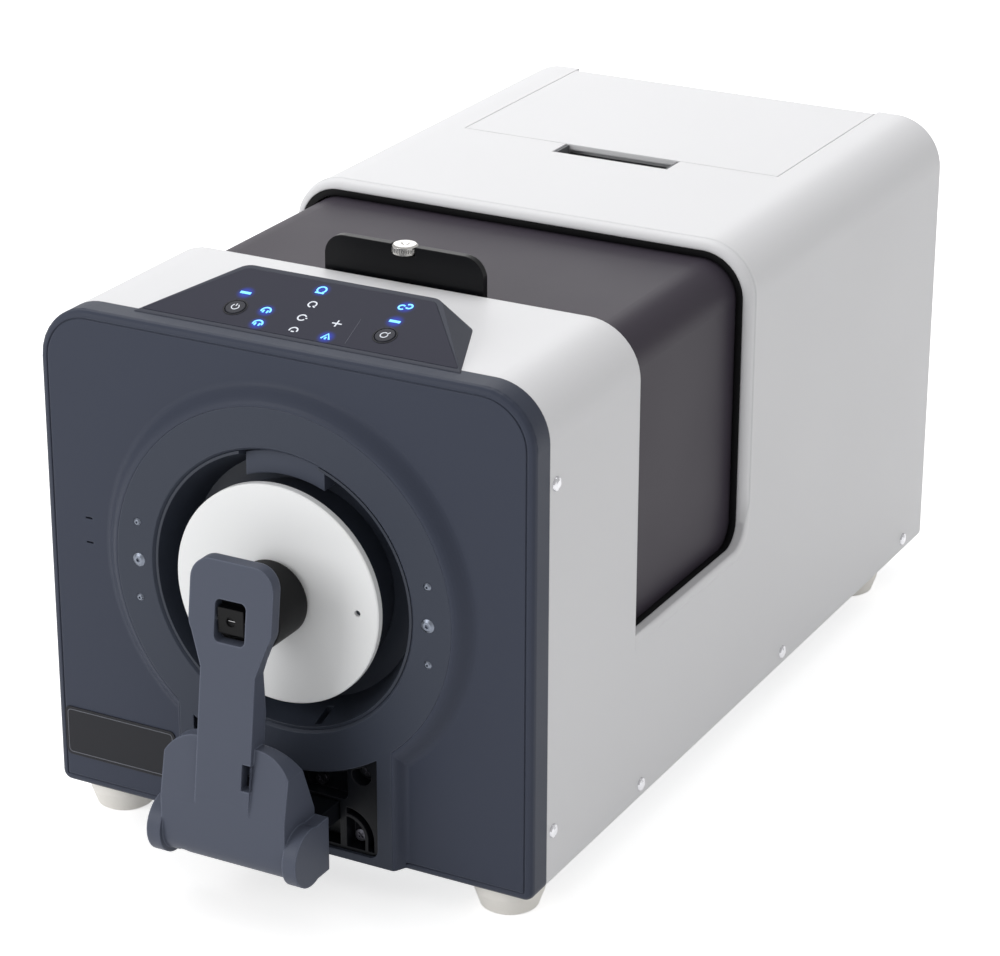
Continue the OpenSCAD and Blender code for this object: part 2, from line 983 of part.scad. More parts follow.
module specimen_pad() {
    color("black")
        place()
            difference() {
                union() {
                    about_y(axis_x, axis_z)
                        polygon([
                            [0, pad_face_y],
                            [pad_r - 2, pad_face_y],
                            [pad_r, pad_face_y - 2],
                            [pad_r, pad_back_y + 4],
                            [pad_r - 4, pad_back_y],
                            [0, pad_back_y]
                        ]);
                    // clip through the window of the arm
                    along_y(arm_y(head_mid_z) + 1, pad_back_y - arm_y(head_mid_z))
                        translate([axis_x, head_mid_z])
                            square([clip_w - 3, clip_h - 8], center = true);
                }
                rod_y(axis_x, arm_y(head_mid_z) - cut, head_mid_z, 2.5, 3);
                rod_x(axis_x, pad_pivot_y, head_mid_z, pad_pin_r + pin_gap, clip_w);
            }
}

module name_plate() {
    color("black")
        place()
            along_y(-0.5, 0.5)
                translate([plate_inset + plate_w / 2 - half_w, foot_h + 29.5])
                    round_rect(plate_w, plate_h, 3);
}

// Console on top, with its tilted face
module on_console() {
    place()
        translate([console_x, console_y, case_top])
            rotate([console_tilt, 0, 0])
                children();
}

module console_face(inset = 0) {
    r = 8;
    hull() {
        for (side = [-1, 1]) {
            translate([side * (console_front - inset - 0.5), 0.5 + inset])
                circle(0.5, $fn = 16);
            translate([side * (console_back - r), console_d - r])
                circle(r - inset, $fn = 32);
        }
    }
}

module console_plan() {
    r = 10;
    hull() {
        for (side = [-1, 1]) {
            translate([side * (console_front - 0.5), 0.5])
                circle(0.5, $fn = 16);
            translate([side * (console_foot - r), console_foot_d - r])
                circle(r, $fn = 32);
        }
    }
}

panel_t = 1;
panel_proud = 0.2;
panel_inset = 3;
key_x = 41;
key_v = 16;
key_proud = 0.6;
key_deep = 1.6;
key_well = key_deep + key_travel + run_gap;

module control_console() {
    color("slategray")
        difference() {
            hull() {
                place()
                    translate([console_x, console_y, case_top])
                        linear_extrude(0.1)
                            console_plan();
                on_console()
                    translate([0, 0, -0.1])
                        linear_extrude(0.1)
                            console_face();
            }
            place()
                translate([-case_w, 0, 0])
                    cube([2 * case_w, case_d, case_top]);
            on_console() {
                translate([0, 0, panel_proud - panel_t])
                    linear_extrude(panel_t)
                        console_face(panel_inset - seat_gap);
                for (side = [-1, 1])
                    translate([side * key_x, key_v, -key_well])
                        cylinder(r = key_r + run_gap, h = key_well + cut);
            }
        }
}

module console_panel() {
    color("midnightblue")
        on_console()
            difference() {
                translate([0, 0, panel_proud - panel_t])
                    linear_extrude(panel_t)
                        console_face(panel_inset);
                for (side = [-1, 1])
                    translate([side * key_x, key_v, -panel_t])
                        cylinder(r = key_r + run_gap, h = panel_t + cut);
            }
}

// Places of the backlit symbols on the console, column and row
lamp_columns = [-24, -5, 14];
lamp_rows = [5, 16.5, 28, 40];
lamp_r = 2.2;
lamp_h = 0.3;
lamp_points = concat(
    [for (row = [0, 1]) [lamp_columns[0], lamp_rows[row]]],
    [for (row = [0:3]) [lamp_columns[1], lamp_rows[row]]],
    [for (row = [0, 1]) [lamp_columns[2], lamp_rows[row]]],
    [[key_x, lamp_rows[3]]]
);

module status_lights() {
    color("deepskyblue")
        on_console()
            translate([0, 0, panel_proud]) {
                for (p = lamp_points)
                    translate(p)
                        cylinder(r = lamp_r, h = lamp_h);
                for (side = [-1, 1])
                    translate([side * key_x - 3, lamp_rows[2] - 1, 0])
                        cube([6, 2, lamp_h]);
            }
}

module console_key(side) {
    on_console()
        translate([side * key_x, key_v, -key_deep]) {
            cylinder(r = key_r, h = key_deep + key_proud - 0.3);
            translate([0, 0, key_deep + key_proud - 0.3])
                cylinder(r1 = key_r, r2 = key_r - 0.3, h = 0.3);
        }
}

module power_button() {
    color("black")
        console_key(-1);
}

module measure_button() {
    color("black")
        console_key(1);
}

// Transmission chamber
wall_y = saddle_y - wall_t;
chamber_half = half_w - slide_inset - slide_t - 2 * run_gap - 3;
core_top = case_top - slide_inset - slide_t - 3;
floor_z = slide_low + 6;
floor_t = 3;
slide_end = mouth_y + slide_lap;

module chamber_front_wall() {
    color("black")
        place()
            difference() {
                along_y(wall_y, saddle_y - wall_y)
                    difference() {
                        inner_outline(foot_h + sheet_t);
                        // room for the upturned edges of the base
                        for (side = [0, 1])
                            mirror([side, 0])
                                translate([inner_half - sheet_t - run_gap, 0])
                                    square([case_w, foot_h + flange_h + run_gap]);
                    }
                rod_y(axis_x, wall_y - cut, axis_z, port_tube_r + seat_gap, saddle_y);
            }
}

module chamber_rear_wall() {
    color("black")
        place()
            difference() {
                along_y(mouth_y + 1, sheet_t)
                    translate([0, floor_z + floor_t])
                        arch(
                            2 * chamber_half,
                            core_top - floor_z - floor_t,
                            case_r - slide_inset - slide_t,
                            0.5
                        );
                rod_y(axis_x, mouth_y, axis_z, lens_r + seat_gap, sheet_t + 2);
            }
}

module chamber_floor() {
    color("black")
        place()
            translate([-chamber_half, saddle_y, floor_z])
                cube([2 * chamber_half, mouth_y + 1 + sheet_t - saddle_y, floor_t]);
}

rail_end = slide_end + slide_travel + 2;

module chassis_sides() {
    color("dimgray")
        place()
            for (side = [-1, 1]) {
                translate([
                    side * (chamber_half - sheet_t / 2) - sheet_t / 2,
                    saddle_y,
                    foot_h + sheet_t
                ])
                    cube([sheet_t, rail_end - saddle_y, floor_z - foot_h - sheet_t]);
                translate([
                    side > 0 ? chamber_half : -inner_half,
                    saddle_y,
                    slide_low - run_gap - sheet_t
                ])
                    cube([inner_half - chamber_half, rail_end - saddle_y, sheet_t]);
            }
}

module slide_outline(inset) {
    translate([0, slide_low])
        arch(
            case_w - 2 * inset,
            case_top - inset - slide_low,
            case_r - slide_inset - (inset - slide_inset) + 1,
            0.5
        );
}

module chamber_cover() {
    color("dimgray")
        place()
            along_y(slide_y, slide_end - slide_y)
                difference() {
                    slide_outline(slide_inset);
                    translate([0, -slide_t])
                        slide_outline(slide_inset + slide_t);
                    translate([-chamber_half, 0])
                        square([2 * chamber_half, slide_low + 5]);
                }
}

port_tube_r = 24;
port_bore_r = 18;
port_front_y = sphere_y + sqrt(pow(sphere_r, 2) - pow(port_bore_r, 2)) + run_gap;
lens_r = 16;

module transmission_port() {
    color("gray")
        place()
            about_y(axis_x, axis_z)
                polygon([
                    [port_bore_r, port_front_y],
                    [port_tube_r, port_front_y],
                    [port_tube_r, saddle_y],
                    [port_tube_r + 4, saddle_y],
                    [port_tube_r + 4, saddle_y + 2],
                    [port_bore_r, saddle_y + 2]
                ]);
}

module receiving_lens() {
    color("lightblue")
        place()
            about_y(axis_x, axis_z)
                polygon([
                    [0, mouth_y - 2],
                    [lens_r * 0.6, mouth_y - 1.5],
                    [lens_r, mouth_y],
                    [lens_r, mouth_y + 1 + sheet_t],
                    [0, mouth_y + 1 + sheet_t]
                ]);
}

// Plate behind the front block, with its thumb screw
stop_x = axis_x + 1;
stop_gap = 3;
stop_y = saddle_y + stop_gap;
stop_hold = 60;
stop_low = case_top - stop_hold;
boss_up = 15;
boss_r = 5;
knob_notch_w = 2 * (knob_r + run_gap);
knob_y = stop_y + stop_t / 2;
knob_low = case_top + stop_rise + 0.5 - knob_h;
knob_shank_r = 1.2;
knob_shank_l = 7;

module specimen_plate() {
    top = case_top + stop_rise;
    color("black")
        place()
            difference() {
                union() {
                    along_y(stop_y, stop_t)
                        translate([stop_x, stop_low])
                            arch(stop_w, top - stop_low, stop_r, 2);
                    // feet against the front wall
                    for (side = [-1, 1])
                        rod_y(
                            stop_x + side * stop_w / 3, saddle_y, stop_low + boss_up,
                            boss_r, stop_gap + eps
                        );
                }
                translate([stop_x - knob_notch_w / 2, stop_y - cut, knob_low - run_gap])
                    cube([knob_notch_w, stop_t + 2 * cut, knob_h + 10]);
                translate([stop_x, knob_y, knob_low - run_gap - knob_shank_l])
                    cylinder(r = knob_shank_r + pin_gap, h = knob_shank_l + cut);
            }
}

knurl_count = 32;

module plate_screw() {
    color("silver")
        place()
            translate([stop_x, knob_y, knob_low]) {
                difference() {
                    rotate_extrude()
                        polygon([
                            [0, 0],
                            [knob_r - 0.6, 0],
                            [knob_r, 0.6],
                            [knob_r, knob_h - 0.8],
                            [knob_r - 0.8, knob_h],
                            [2.5, knob_h],
                            [0, knob_h - 1]
                        ]);
                    for (i = [0:knurl_count - 1])
                        rotate([0, 0, i * 360 / knurl_count])
                            translate([knob_r + 0.1, 0, 1.5])
                                cylinder(r = 0.5, h = knob_h - 3, $fn = 4);
                }
                translate([0, 0, -knob_shank_l + 0.5])
                    cylinder(r = knob_shank_r, h = knob_shank_l);
            }
}

// Storage lid, its hinge, the tray below and the finger recess
lid_t = cover_wall - 2 * run_gap;
lid_w = case_w - 2 * lid_margin;
lid_end = case_d - lid_back;
lid_axis_y = lid_end - lid_t / 2;
lid_axis_z = case_top - lid_t / 2;
lid_pin_r = 1.5;
lid_pin_l = 18;
lid_pin_out = 6;
tray_wall = 2;
lid_pin_x = lid_w / 2 + lid_pin_out - lid_pin_l / 2;

// Bores of the lid's two pins, which carry on into the cover
module lid_pin_holes(r) {
    for (side = [-1, 1])
        rod_x(side * lid_pin_x, lid_axis_y, lid_axis_z, r, lid_pin_l + 2 * seat_gap);
}

module storage_lid() {
    color("whitesmoke")
        place()
            difference() {
                union() {
                    translate([-lid_w / 2, lid_y, case_top - lid_t])
                        cube([lid_w, lid_axis_y - lid_y, lid_t]);
                    rod_x(0, lid_axis_y, lid_axis_z, lid_t / 2, lid_w);
                }
                lid_pin_holes(lid_pin_r + pin_gap);
                // finger hold below the front edge
                translate([axis_x - finger_w / 2, lid_y - cut, case_top - lid_t - cut])
                    cube([finger_w, 5 + cut, lid_t / 2 + cut]);
            }
}

module lid_hinge_pin() {
    color("silver")
        place()
            for (side = [-1, 1])
                rod_x(side * lid_pin_x, lid_axis_y, lid_axis_z, lid_pin_r, lid_pin_l);
}

// Tray that hangs by its rim under the edges of the cover
module storage_tray() {
    tray_half = lid_w / 2 - 5;
    rim_half = lid_w / 2 + 5;
    front = lid_y + 7;
    rear = rear_y - 6;
    low = inner_top - tray_d;
    color("dimgray")
        place()
            difference() {
                union() {
                    translate([-tray_half, front, low])
                        cube([2 * tray_half, rear - front, tray_d - run_gap]);
                    translate([-rim_half, front - 5, inner_top - 2 * tray_wall])
                        cube([2 * rim_half, rear_y - run_gap - front + 5, 2 * tray_wall - run_gap]);
                }
                translate([-tray_half + tray_wall, front + tray_wall, low + tray_wall])
                    cube([2 * (tray_half - tray_wall), rear - front - 2 * tray_wall, tray_d]);
            }
}

module finger_cup() {
    floor_top = case_top - finger_deep;
    left = axis_x - finger_w / 2;
    front = lid_y - finger_d;
    color("black")
        place()
            difference() {
                translate([left + seat_gap, front + seat_gap, floor_top - tray_wall])
                    cube([
                        finger_w - 2 * seat_gap,
                        finger_d - lid_gap - seat_gap,
                        finger_deep + tray_wall - 0.5
                    ]);
                translate([left + tray_wall, front + tray_wall, floor_top])
                    cube([finger_w - 2 * tray_wall, finger_d, finger_deep]);
            }
}

// Feet
foot_screw_r = 3;

module feet() {
    color("ivory")
        place()
            for (p = foot_points)
                translate(p)
                    difference() {
                        rotate_extrude()
                            polygon([
                                [0, 0],
                                [foot_low_r, 0],
                                [foot_low_r + 1.5, 1],
                                [foot_top_r - 0.5, foot_h * 0.6],
                                [foot_top_r, foot_h],
                                [0, foot_h]
                            ]);
                        translate([0, 0, -cut])
                            cylinder(r = 6, h = 6 + cut);
                        cylinder(r = foot_screw_r + seat_gap, h = foot_h + cut);
                    }
}

module foot_screws() {
    color("silver")
        place()
            for (p = foot_points)
                translate(p) {
                    translate([0, 0, 6])
                        cylinder(r = foot_screw_r, h = foot_h + sheet_t - 5);
                    translate([0, 0, 3])
                        cylinder(r = 5.4, h = 3);
                }
}

module side_screws() {
    color("silver")
        place()
            for (side = [-1, 1], p = side_screw_points)
                translate([side * half_w, p[0], p[1]])
                    rotate([0, side * 90, 0])
                        rotate_extrude()
                            polygon([
                                [0, -p[2]],
                                [screw_shank_r, -p[2]],
                                [screw_shank_r, 0],
                                [screw_head_r, 0],
                                [screw_head_r * 0.9, screw_head_h * 0.6],
                                [screw_head_r * 0.5, screw_head_h],
                                [0, screw_head_h]
                            ]);
}

// Optics and electronics inside the closed housing
sphere_flange = 5;
sphere_port_r = 26;

module sphere_half(front) {
    difference() {
        union() {
            intersection() {
                translate([axis_x, sphere_y, axis_z])
                    sphere(sphere_r);
                translate([axis_x - 2 * sphere_r, sphere_y - (front ? 2 * sphere_r : 0), 0])
                    cube([4 * sphere_r, 2 * sphere_r, 4 * sphere_r + axis_z]);
            }
            // joining flange
            rod_y(axis_x, sphere_y - (front ? sphere_t : 0), axis_z, sphere_r + sphere_flange, sphere_t);
        }
        translate([axis_x, sphere_y, axis_z])
            sphere(sphere_r - sphere_t);
        rod_y(
            axis_x,
            sphere_y + (front ? -2 * sphere_r : 0),
            axis_z,
            front ? sphere_port_r : port_bore_r,
            2 * sphere_r
        );
    }
}

module sphere_front_half() {
    color("white")
        place()
            sphere_half(true);
}

module sphere_rear_half() {
    color("white")
        place()
            sphere_half(false);
}

lamp_w = 44;
box_wall = 3;
inside_z = foot_h + sheet_t;
poly_y = mouth_y + 20;
poly_d = 80;
poly_w = 120;
poly_left = 80;
poly_rise = 30;
board_y = poly_y + poly_d + 8;
board_d = rear_y - 22 - board_y;
board_half = half_w - 35.5;
supply_w = 90;
supply_h = 30;

// Cover of folded sheet, open below, standing on the origin
module sheet_box(w, d, h) {
    difference() {
        cube([w, d, h]);
        translate([box_wall, box_wall, -cut])
            cube([w - 2 * box_wall, d - 2 * box_wall, h - box_wall + cut]);
    }
}

module lamp_housing() {
    lamp_h_inside = axis_z - sphere_r - sphere_flange - run_gap - inside_z;
    color("silver")
        place()
            translate([axis_x - lamp_w / 2, sphere_y - lamp_w / 2, inside_z])
                sheet_box(lamp_w, lamp_w, lamp_h_inside);
}

module polychromator_box() {
    color("darkgray")
        place()
            translate([-poly_left, poly_y, inside_z])
                sheet_box(poly_w, poly_d, axis_z + poly_rise - foot_h);
}

module main_board() {
    color("darkgreen")
        place()
            translate([-board_half, board_y, inside_z + supply_h])
                cube([2 * board_half, board_d, 2]);
}

module power_supply() {
    color("gray")
        place()
            translate([-board_half, board_y, inside_z])
                sheet_box(supply_w, board_d, supply_h);
}

// Sockets and switch in the rear panel
module power_inlet() {
    body_d = 18;
    left = inlet_x - inlet_w / 2;
    low = inlet_z - inlet_h / 2;
    back = rear_y + sheet_t;
    color("black")
        place()
            difference() {
                union() {
                    translate([left, back - body_d, low])
                        cube([inlet_w, body_d + 2, inlet_h]);
                    translate([left - 4, back, low - 2])
                        cube([inlet_w + 8, 2, inlet_h + 4]);
                }
                translate([left + 2, back - body_d + 3, low + 2])
                    cube([inlet_w - 4, body_d, inlet_h - 4]);
            }
}

module data_socket() {
    shell = 1.5;
    left = usb_x - usb_w / 2;
    low = inlet_z - usb_h / 2;
    back = rear_y + sheet_t;
    color("silver")
        place()
            difference() {
                translate([left, back - 14, low])
                    cube([usb_w, 15, usb_h]);
                translate([left + shell, back - 11, low + shell])
                    cube([usb_w - 2 * shell, 15, usb_h - 2 * shell]);
            }
}

switch_wall = 1.5;
switch_pin_r = 1.2;
switch_pin_y = rear_y - 1.5;

module switch_frame() {
    color("black")
        place()
            difference() {
                union() {
                    along_y(rear_y - 7, sheet_t + 7)
                        translate([switch_x, inlet_z])
                            square([switch_w, switch_h], center = true);
                    along_y(rear_y + sheet_t, 1)
                        translate([switch_x, inlet_z])
                            round_rect(switch_w + 3, switch_h + 3, 1);
                }
                along_y(rear_y - 7 - cut, sheet_t + 9 + cut)
                    translate([switch_x, inlet_z])
                        square([switch_w - 2 * switch_wall, switch_h - 2 * switch_wall], center = true);
                rod_x(switch_x, switch_pin_y, inlet_z, switch_pin_r + pin_gap, switch_w + cut);
            }
}

module power_switch() {
    rocker_half = switch_h / 2 - switch_wall - 1;
    face_y = rear_y + sheet_t + 2;
    color("black")
        place() {
            across_x(switch_x, switch_w - 2 * switch_wall - 2 * run_gap)
                polygon([
                    [rear_y - 4, inlet_z - 3],
                    [rear_y - 4, inlet_z + 3],
                    [face_y, inlet_z + rocker_half],
                    [face_y - 1, inlet_z],
                    [face_y, inlet_z - rocker_half]
                ]);
            rod_x(switch_x, switch_pin_y, inlet_z, switch_pin_r, switch_w - switch_wall);
        }
}

outer_cover();
front_fascia();
base_plate();
rear_panel();
port_plate();
mask_well();
mask_seat();
target_mask();
mask_latch();
ring_screws();
bay_tray();
bay_screws();
hinge_bracket();
hinge_pin();
holder_arm();
pad_pivot_pin();
specimen_pad();
name_plate();
control_console();
console_panel();
status_lights();
power_button();
measure_button();
chamber_front_wall();
chamber_rear_wall();
chamber_floor();
chassis_sides();
chamber_cover();
transmission_port();
receiving_lens();
specimen_plate();
plate_screw();
storage_lid();
lid_hinge_pin();
storage_tray();
finger_cup();
feet();
foot_screws();
side_screws();
sphere_front_half();
sphere_rear_half();
lamp_housing();
polychromator_box();
main_board();
power_supply();
power_inlet();
data_socket();
switch_frame();
power_switch();
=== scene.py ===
import math
import bpy
import numpy as np
from mathutils import Matrix, Vector


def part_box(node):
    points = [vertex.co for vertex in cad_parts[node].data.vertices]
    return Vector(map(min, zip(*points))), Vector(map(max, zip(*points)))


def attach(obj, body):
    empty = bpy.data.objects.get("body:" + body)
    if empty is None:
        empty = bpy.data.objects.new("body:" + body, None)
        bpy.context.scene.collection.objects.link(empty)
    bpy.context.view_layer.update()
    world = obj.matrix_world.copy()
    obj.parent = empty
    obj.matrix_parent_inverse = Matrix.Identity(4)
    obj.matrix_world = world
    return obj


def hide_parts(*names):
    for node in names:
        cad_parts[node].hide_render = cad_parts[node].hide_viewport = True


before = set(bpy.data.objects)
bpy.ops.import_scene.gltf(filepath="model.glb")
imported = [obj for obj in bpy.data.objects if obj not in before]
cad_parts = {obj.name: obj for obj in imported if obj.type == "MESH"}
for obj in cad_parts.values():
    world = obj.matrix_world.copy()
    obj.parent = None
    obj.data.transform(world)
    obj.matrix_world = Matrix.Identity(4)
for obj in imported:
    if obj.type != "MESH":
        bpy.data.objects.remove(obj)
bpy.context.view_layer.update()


# White cover and storage lid
# The cover is one thick plastic moulding in satin white paint: front block, low
# sides and rear housing. The lid of the storage tray lies flush in its top.
FASCIA_AHEAD = 217.0  # millimetres from the fascia's face back to the frame's origin


class Wire:
    """A value in a material's node tree. Arithmetic on it adds Math nodes."""

    def __init__(self, finish, socket):
        self.finish = finish
        self.socket = socket

    def worked(self, operation, first, second):
        return self.finish.node("ShaderNodeMath", {"operation": operation}, {0: first, 1: second})

    def __add__(self, other):
        return self.worked("ADD", self, other)

    def __radd__(self, other):
        return self.worked("ADD", other, self)

    def __sub__(self, other):
        return self.worked("SUBTRACT", self, other)

    def __rsub__(self, other):
        return self.worked("SUBTRACT", other, self)

    def __mul__(self, other):
        return self.worked("MULTIPLY", self, other)

    def __rmul__(self, other):
        return self.worked("MULTIPLY", other, self)


class Finish:
    """A material, or the world, under construction, with one method that adds any node."""

    def __init__(self, name, shelf=bpy.data.materials):
        self.made = shelf.new(name)
        self.made.use_nodes = True
        self.tree = self.made.node_tree
        self.tree.nodes.clear()

    def node(self, kind, settings, sockets, out=0):
        """Adds one node: its settings first, then the values or links of its sockets."""
        made = self.tree.nodes.new(kind)
        for key, value in settings.items():
            setattr(made, key, value)
        for key, value in sockets.items():
            if isinstance(value, Wire):
                self.tree.links.new(value.socket, made.inputs[key])
            else:
                made.inputs[key].default_value = value
        return Wire(self, made.outputs[out] if len(made.outputs) else None)

    def here(self):
        """The place on the piece, in Object coordinates in metres."""
        return self.node("ShaderNodeTexCoord", {}, {}, out="Object")

    def vector(self, operation, *values, out="Vector"):
        """Vector Math on one or two vectors."""
        return self.node("ShaderNodeVectorMath", {"operation": operation},
                         dict(enumerate(values)), out)

    def noise(self, scale, detail=2.0, stretch=(1.0, 1.0, 1.0)):
        """Noise on Object coordinates, stretched by a scale for each axis."""
        drawn = self.node("ShaderNodeMapping", {}, {"Vector": self.here(), "Scale": stretch})
        return self.node("ShaderNodeTexNoise", {},
                         {"Vector": drawn, "Scale": scale, "Detail": detail})

    def ramp(self, value, start, end, **settings):
        """0 where a value is at its start, 1 where it is at its end, and its way in between."""
        return self.node("ShaderNodeMapRange", settings,
                         {"Value": value, "From Min": start, "From Max": end})

    def mix(self, factor, first, second):
        """Two colours mixed. Each is a link or three linear values."""
        first, second = (c if isinstance(c, Wire) else (*c, 1.0) for c in (first, second))
        return self.node("ShaderNodeMix", {"data_type": "RGBA"},
                         {0: factor, 6: first, 7: second}, out=2)

    def rounded(self, radius):
        """The normal of the surface with its edges rounded to a radius in metres."""
        return self.node("ShaderNodeBevel", {"samples": 6}, {"Radius": radius})

    def edge(self, normal):
        """1 on the rounded edges and 0 on the faces, from how far the two normals part."""
        face = self.node("ShaderNodeNewGeometry", {}, {}, out="Normal")
        return self.ramp(self.vector("DOT_PRODUCT", normal, face, out="Value"), 0.985, 0.85)

    def lift(self, height, depth, normal):
        """Bump of a height from 0 to 1, over a depth in metres."""
        return self.node("ShaderNodeBump", {},
                         {"Height": height, "Distance": depth, "Strength": 1.0, "Normal": normal})

    def close(self, colour, roughness, normal, **constants):
        """Ends the tree in a Principled shader. Constants are named as its sockets, with
        underscores for spaces."""
        sockets = {"Base Color": colour, "Roughness": roughness, "Normal": normal}
        sockets.update({key.replace("_", " "): value for key, value in constants.items()})
        shader = self.node("ShaderNodeBsdfPrincipled", {}, sockets)
        self.node("ShaderNodeOutputMaterial", {}, {"Surface": shader})
        return self.made


def linear(*screen):
    """Screen values from 0 to 255 turned into linear light."""
    value = np.array(screen) / 255
    light = np.where(value <= 0.04045, value / 12.92, ((value + 0.055) / 1.055) ** 2.4)
    return tuple(float(v) for v in light)


def coating(name, tone, spread, roughness, scale, depth, edge=0.0006, edge_highlight=0.0, **constants):
    """Paint or moulded plastic. The tone wanders by its spread with a noise of hand size and
    a fine grain, which also lifts the surface. The rounded edges are lightened as a painted
    highlight, by the strength edge_highlight. A dark tone gets a weaker mirror part, as a textured
    paint has."""
    if max(tone) < 0.25:
        constants.setdefault("Specular_IOR_Level", 0.18)
    finish = Finish(name)
    fine, wide = finish.noise(scale, 3.0), finish.noise(14.0)
    dark, light = (tuple(c * (1 + part * spread) for c in tone) for part in (-1, 1))
    colour = finish.mix(wide * 0.55 + fine * 0.45, dark, light)
    normal = finish.rounded(edge)
    # Painted highlight: a lighter colour on the rounded edges stands for the light their bevels
    # catch.
    if edge_highlight:
        highlight_tone = tuple(min(1.0, c * 2.2 + 0.02) for c in tone)
        colour = finish.mix(finish.edge(normal) * edge_highlight, colour, highlight_tone)
    gloss = (wide - 0.5) * 0.12 + (fine - 0.5) * 0.08 + roughness
    return finish.close(colour, gloss, finish.lift(fine, depth, normal), **constants)


def dress(material, *names):
    """Puts one material on all slots of the named CAD pieces."""
    for name in names:
        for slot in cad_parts[name].material_slots:
            slot.material = material


def spot(x, y, z):
    """Points in the frame's metres, from millimetres to the right of the case's middle, behind
    the fascia's face and above the bench."""
    return np.stack(np.broadcast_arrays(x, np.subtract(y, FASCIA_AHEAD), z), -1) / 1000.0


def solid(name, body, material, parts, sharp=0.6):
    """One closed piece from parts. A part is a grid of rings (along, round, xyz), and True when
    its last ring meets its first. Other grids get a flat cap at each end, and a part whose
    signed volume is negative is turned, so that its faces point outwards."""
    points, faces = [], []
    for rings, endless in parts:
        along, around = rings.shape[:2]
        start = sum(len(p) for p in points)
        index = np.arange(along * around).reshape(along, around)
        low, high = (index, np.roll(index, -1, 0)) if endless else (index[:-1], index[1:])
        quads = np.stack([low, np.roll(low, -1, 1), np.roll(high, -1, 1), high], -1).reshape(-1, 4)
        flat = rings.reshape(-1, 3)
        a, b, c, d = (flat[quads[:, k]] - flat.mean(0) for k in range(4))
        volume = (a * (np.cross(b, c) + np.cross(c, d))).sum()
        made = (quads + start).tolist()
        if not endless:
            made += [(index[0][::-1] + start).tolist(), (index[-1] + start).tolist()]
        faces += made if volume > 0 else [face[::-1] for face in made]
        points.append(flat)
    mesh = bpy.data.meshes.new(name)
    mesh.from_pydata(np.concatenate(points).tolist(), [], faces)
    mesh.polygons.foreach_set("use_smooth", np.ones(len(faces), bool))
    mesh.set_sharp_from_angle(angle=sharp)
    mesh.materials.append(material)
    piece = bpy.data.objects.new(name, mesh)
    bpy.context.scene.collection.objects.link(piece)
    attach(piece, body)
    return piece


white_paint = coating("white_paint", linear(226, 226, 228), 0.012, 0.46, 900.0, 0.00002,
                      edge=0.0012, Specular_IOR_Level=0.35)
dress(white_paint, "outer_cover", "storage_lid")

# Rolled edge of the opening and its painted gap shade
# The cover's edge around the saddle-shaped opening is rolled over a narrow bead, and a black
# band inside it is painted shade, for the shadowed gap between the cover and the chamber cover.
# Both run from the front block up and over the top.
CASE_HALF, CASE_TOP, CASE_ROUND = 135.5, 274.0, 28.0
SADDLE_FRONT, SADDLE_LOW, SADDLE_ROUND, MOUTH = 108.5, 112.0, 13.0, 237.0
FRONT_GAP, PROUD = 0.3, 0.05


def leg(x, y, z, across_y, across_z, inward_x, inward_z):
    """One leg of the opening's edge: for each point its place, the way across the edge, which
    has no x, and the way into the case, which has no y."""
    rows = np.broadcast_arrays(x, y, z, 0.0, across_y, across_z, inward_x, 0.0, inward_z)
    return np.stack(rows, -1).reshape(-1, 3, 3)


def opening_path():
    """Points along the edge of the opening, the way across the edge and the way into the case.
    The right half is a line along the saddle, a quarter circle, a line up the side, a quarter
    circle over the case's edge and half the top. The left half is the same one mirrored."""
    run = np.linspace(SADDLE_FRONT + FRONT_GAP, MOUTH - SADDLE_ROUND, 24)
    turn = np.radians(np.linspace(-90, 0, 15))[1:]
    rise = np.linspace(SADDLE_LOW + SADDLE_ROUND, CASE_TOP - CASE_ROUND, 14)[1:]
    bend = np.radians(np.linspace(0, 90, 19))[1:]
    top = np.linspace(CASE_HALF - CASE_ROUND, 0, 12)[1:]
    right_half = np.concatenate([
        leg(CASE_HALF, run, SADDLE_LOW, 0.0, -1.0, -1.0, 0.0),
        leg(CASE_HALF, MOUTH - SADDLE_ROUND * (1 - np.cos(turn)),
            SADDLE_LOW + SADDLE_ROUND * (1 + np.sin(turn)), np.cos(turn), np.sin(turn), -1.0, 0.0),
        leg(CASE_HALF, MOUTH, rise, 1.0, 0.0, -1.0, 0.0),
        leg(CASE_HALF - CASE_ROUND * (1 - np.cos(bend)), MOUTH,
            CASE_TOP - CASE_ROUND * (1 - np.sin(bend)), 1.0, 0.0, -np.cos(bend), -np.sin(bend)),
        leg(top, MOUTH, CASE_TOP, 1.0, 0.0, 0.0, -1.0),
    ])
    whole = np.concatenate([right_half, right_half[-2::-1] * (-1, 1, 1)])
    return whole[:, 0], whole[:, 1], whole[:, 2]


def along_opening(across_edge, below_face):
    """Carries a profile round the opening: edge point, plus a part across the edge, plus a part
    into the case. The profile is one for all points, or one for each. Where it stands proud of
    the face by more than PROUD, it fades out over the first and the last four points."""
    edge, across, inward = opening_path()
    count = np.arange(len(edge))
    fade = np.minimum(1.0, np.minimum(count, count[::-1]) / 4.0)[:, None]
    below_face = np.array(below_face)
    depth = np.where(below_face < -PROUD, below_face * fade, below_face)[..., None]
    points = edge[:, None] + inward[:, None] * depth
    points = points + across[:, None] * np.atleast_2d(across_edge)[..., None]
    return spot(points[..., 0], points[..., 1], points[..., 2])


